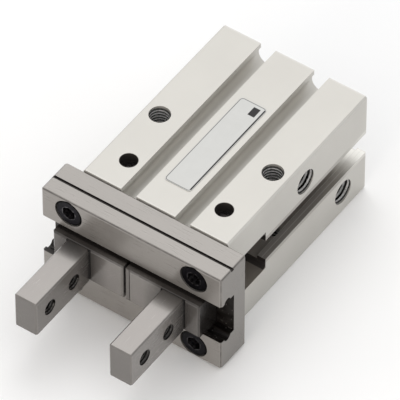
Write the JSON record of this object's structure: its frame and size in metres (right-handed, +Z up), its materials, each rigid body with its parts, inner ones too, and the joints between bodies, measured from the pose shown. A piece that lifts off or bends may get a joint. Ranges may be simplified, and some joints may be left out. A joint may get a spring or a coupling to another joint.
{
  "type": "parallel air gripper",
  "caption": "Double-acting air gripper: ribbed block body, wide guide at one end, and parallel fingers that slide apart on ball races.",
  "frame": {"origin": "centre of the rear mounting face, on the cylinder axis", "axes": "+Z up with the gripper lying on a wide face; the fingers point along -Y and slide along X; +X is the side with the air ports"},
  "size_m": [0.038, 0.0673, 0.0237],
  "materials": {
    "anodised_aluminium": "clear anodised, satin",
    "guide_steel": "ground steel",
    "finger_steel": "ground steel",
    "black_screw_steel": "black oxide",
    "pin_steel": "ground and polished",
    "ball_steel": "polished",
    "lever_steel": "dark hardened steel",
    "spring_steel": "dark phosphated",
    "cap_aluminium": "turned",
    "seal_rubber": "matte",
    "bumper_rubber": "matte",
    "bonded_magnet": "matte",
    "label_film": "satin film"
  },
  "bodies": {
    "housing": {"body": "anodised_aluminium", "guide": "guide_steel", "guide_screws": "black_screw_steel", "guide_dowels": "pin_steel", "lever_shafts": "pin_steel", "rear_cap": "cap_aluminium", "cap_o_ring": "seal_rubber", "cap_retaining_ring": "spring_steel", "rod_seal": "seal_rubber", "rod_seal_retainer": "cap_aluminium", "rear_bumper": "bumper_rubber", "front_bumper": "bumper_rubber", "label": "label_film"},
    "piston_unit": {"piston": "cap_aluminium", "piston_rod": "pin_steel", "magnet_ring": "bonded_magnet", "piston_seal": "seal_rubber", "rod_pin": "pin_steel", "rod_rollers": "pin_steel"},
    "right_lever": {"lever_right": "lever_steel"},
    "left_lever": {"lever_left": "lever_steel"},
    "right_finger": {"finger_right": "finger_steel"},
    "left_finger": {"finger_left": "finger_steel"},
    "right_ball_rows": {"balls_right": "ball_steel"},
    "left_ball_rows": {"balls_left": "ball_steel"}
  },
  "joints": [
    {"name": "piston_stroke", "type": "slide", "parent": "housing", "child": "piston_unit", "axis": [0, -1, 0], "range_m": [0, 0.00281]},
    {"name": "right_lever_swing", "type": "hinge", "parent": "housing", "child": "right_lever", "pos_m": [0.0101, -0.0363, 0], "axis": [0, 0, 1], "range_deg": [0, 15.82]},
    {"name": "left_lever_swing", "type": "hinge", "parent": "housing", "child": "left_lever", "pos_m": [-0.0101, -0.0363, 0], "axis": [0, 0, -1], "range_deg": [0, 15.82]},
    {"name": "right_finger_slide", "type": "slide", "parent": "housing", "child": "right_finger", "axis": [1, 0, 0], "range_m": [0, 0.003]},
    {"name": "left_finger_slide", "type": "slide", "parent": "housing", "child": "left_finger", "axis": [-1, 0, 0], "range_m": [0, 0.003]},
    {"name": "right_balls_slide", "type": "slide", "parent": "housing", "child": "right_ball_rows", "axis": [1, 0, 0], "range_m": [0, 0.0015]},
    {"name": "left_balls_slide", "type": "slide", "parent": "housing", "child": "left_ball_rows", "axis": [-1, 0, 0], "range_m": [0, 0.0015]}
  ],
  "couplings": [
    {"joint": "right_lever_swing", "follows": "piston_stroke", "rad_per_m": 98.38},
    {"joint": "left_lever_swing", "follows": "piston_stroke", "rad_per_m": 98.38},
    {"joint": "right_finger_slide", "follows": "piston_stroke", "ratio": 1.0689},
    {"joint": "left_finger_slide", "follows": "piston_stroke", "ratio": 1.0689},
    {"joint": "right_balls_slide", "follows": "piston_stroke", "ratio": 0.53447},
    {"joint": "left_balls_slide", "follows": "piston_stroke", "ratio": 0.53447}
  ]
}
